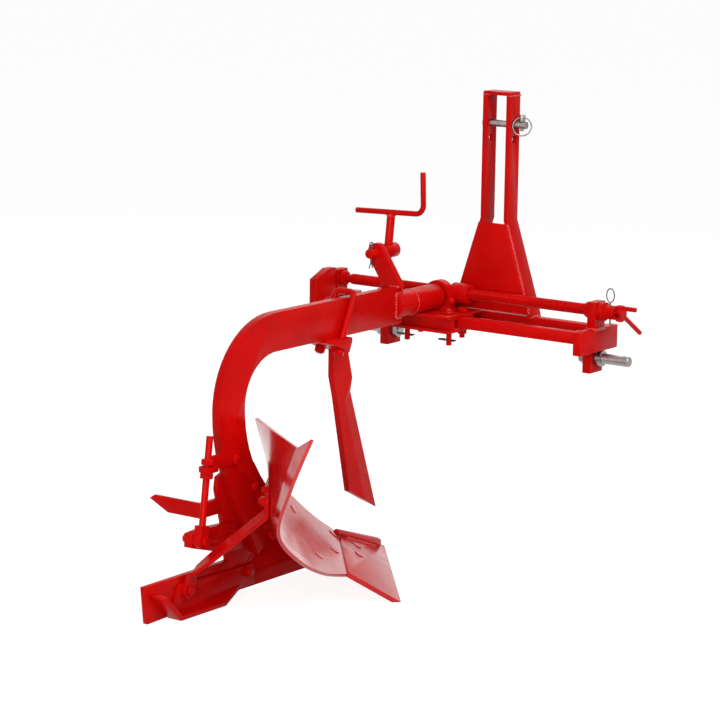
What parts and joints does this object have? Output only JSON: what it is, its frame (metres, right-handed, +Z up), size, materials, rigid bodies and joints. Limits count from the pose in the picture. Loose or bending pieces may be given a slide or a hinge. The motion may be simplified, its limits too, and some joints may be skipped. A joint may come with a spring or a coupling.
{
  "type": "single furrow plough",
  "caption": "A red single-furrow mounted plough: gooseneck beam, right-hand mouldboard body, knife coulter, levelling crank and a cross screw that shifts the beam sideways on its headstock.",
  "frame": {"origin": "The middle of the axis through the two lower link pins, at the hitch's centre.", "axes": "X points right across the plough, along the lower link pins. Y points forward, the way the tractor pulls. Z points up; the ground is at z = -0.430 m."},
  "size_m": [0.7965, 1.0889, 0.978],
  "materials": {
    "red_frame": "glossy bright red enamel",
    "red_share": "glossy bright red enamel over a forged share",
    "red_board": "glossy bright red enamel over pressed sheet",
    "bright_steel": "turned bright steel, lightly oiled",
    "ground_steel": "ground steel with a film of grease",
    "spring_wire": "dark spring wire with red overspray"
  },
  "bodies": {
    "headstock": {"front_cross_bar": "red_frame", "rear_cross_bar": "red_frame", "right_end_plate": "red_frame", "left_end_plate": "red_frame", "right_bearing_plate": "red_frame", "left_bearing_plate": "red_frame", "right_drop_plate": "red_frame", "left_drop_plate": "red_frame", "lower_link_pins": "bright_steel", "lower_link_nuts": "bright_steel", "mast_left_bar": "red_frame", "mast_right_bar": "red_frame", "mast_top_strap": "red_frame", "mast_gusset": "red_frame"},
    "screw": {"cross_screw": "red_frame", "screw_collars": "red_frame", "screw_hub": "red_frame", "tommy_bar": "red_frame", "screw_split_pins": "spring_wire"},
    "top_pin": {"top_link_pin": "bright_steel", "lynch_pin": "bright_steel"},
    "ring": {"lynch_ring": "bright_steel"},
    "carriage": {"carriage_top_plate": "red_frame", "carriage_bottom_plate": "red_frame", "carriage_spacers": "red_frame", "carriage_pins": "red_frame", "carriage_clips": "spring_wire", "carriage_bolts": "red_frame", "nut_boss": "red_frame", "pivot_lug": "red_frame", "pivot_shaft": "ground_steel", "pivot_bolt": "red_frame", "lower_swivel_lug": "red_frame"},
    "swivel": {"lower_swivel": "red_frame"},
    "crank": {"crank_spindle": "red_frame", "crank_handle": "red_frame"},
    "trunnion": {"trunnion_block": "red_frame", "trunnion_split_pin": "spring_wire"},
    "beam_unit": {"beam": "red_frame", "swivel_tube": "red_frame", "crank_arm": "red_frame", "coulter_bolts": "red_frame", "coulter_clamp": "red_frame", "pitch_bracket": "red_frame", "pitch_bolts": "red_frame", "pitch_nuts": "red_frame"},
    "knife": {"coulter": "red_frame"},
    "plough_body": {"frog": "red_frame", "frog_arm": "red_frame", "body_bolts": "red_frame", "share": "red_share", "bar_point": "red_share", "mouldboard": "red_board", "frog_seats": "red_frame", "landside": "red_frame", "heel_shoe": "red_frame", "tail_brace": "red_frame", "plough_bolts": "red_frame", "depth_skid": "red_frame"},
    "pitch_link": {"pitch_rod": "red_frame"}
  },
  "joints": [
    {"name": "screw_turn", "type": "hinge", "parent": "headstock", "child": "screw", "pos_m": [0, -0.024, 0.106], "axis": [1, 0, 0], "range_deg": [-21640, 6500]},
    {"name": "carriage_shift", "type": "slide", "parent": "headstock", "child": "carriage", "axis": [1, 0, 0], "range_m": [-0.072, 0.24]},
    {"name": "beam_roll", "type": "hinge", "parent": "carriage", "child": "beam_unit", "pos_m": [-0.1, -0.1, 0.1], "axis": [0, 1, 0], "range_deg": [-8.06, 8.06]},
    {"name": "swivel_swing", "type": "hinge", "parent": "carriage", "child": "swivel", "pos_m": [-0.1584, -0.13, 0.112], "axis": [0, 1, 0], "range_deg": [-8.9, 8.9]},
    {"name": "crank_turn", "type": "hinge", "parent": "swivel", "child": "crank", "pos_m": [-0.1584, -0.176, 0.112], "axis": [0.0872, 0, 0.9962], "range_deg": [-1000, 1000]},
    {"name": "trunnion_swing", "type": "hinge", "parent": "beam_unit", "child": "trunnion", "pos_m": [-0.15, -0.215, 0.208], "axis": [0, 1, 0], "range_deg": [-0.8, 0.8]},
    {"name": "coulter_depth", "type": "slide", "parent": "beam_unit", "child": "knife", "axis": [0, 0, 1], "range_m": [-0.03, 0.02]},
    {"name": "body_pitch", "type": "hinge", "parent": "beam_unit", "child": "plough_body", "pos_m": [-0.1, -0.712, -0.205], "axis": [1, 0, 0], "range_deg": [-3, 3]},
    {"name": "rod_swing", "type": "hinge", "parent": "plough_body", "child": "pitch_link", "pos_m": [-0.08, -0.892, -0.282], "axis": [1, 0, 0], "range_deg": [-1.2, 1.2]},
    {"name": "top_pin_turn", "type": "hinge", "parent": "headstock", "child": "top_pin", "pos_m": [0, 0.028, 0.478], "axis": [1, 0, 0], "continuous": true},
    {"name": "ring_flip", "type": "hinge", "parent": "top_pin", "child": "ring", "pos_m": [0.054, 0.028, 0.495], "axis": [-0.809, -0.5878, 0], "range_deg": [0, 150]}
  ],
  "couplings": [
    {"joint": "screw_turn", "follows": "carriage_shift", "rad_per_m": -1570.8},
    {"joint": "crank_turn", "follows": "beam_roll", "ratio": -124.04},
    {"joint": "swivel_swing", "follows": "beam_roll", "ratio": 1.0712},
    {"joint": "trunnion_swing", "follows": "beam_roll", "ratio": 0.071233},
    {"joint": "rod_swing", "follows": "body_pitch", "ratio": -0.30818}
  ]
}
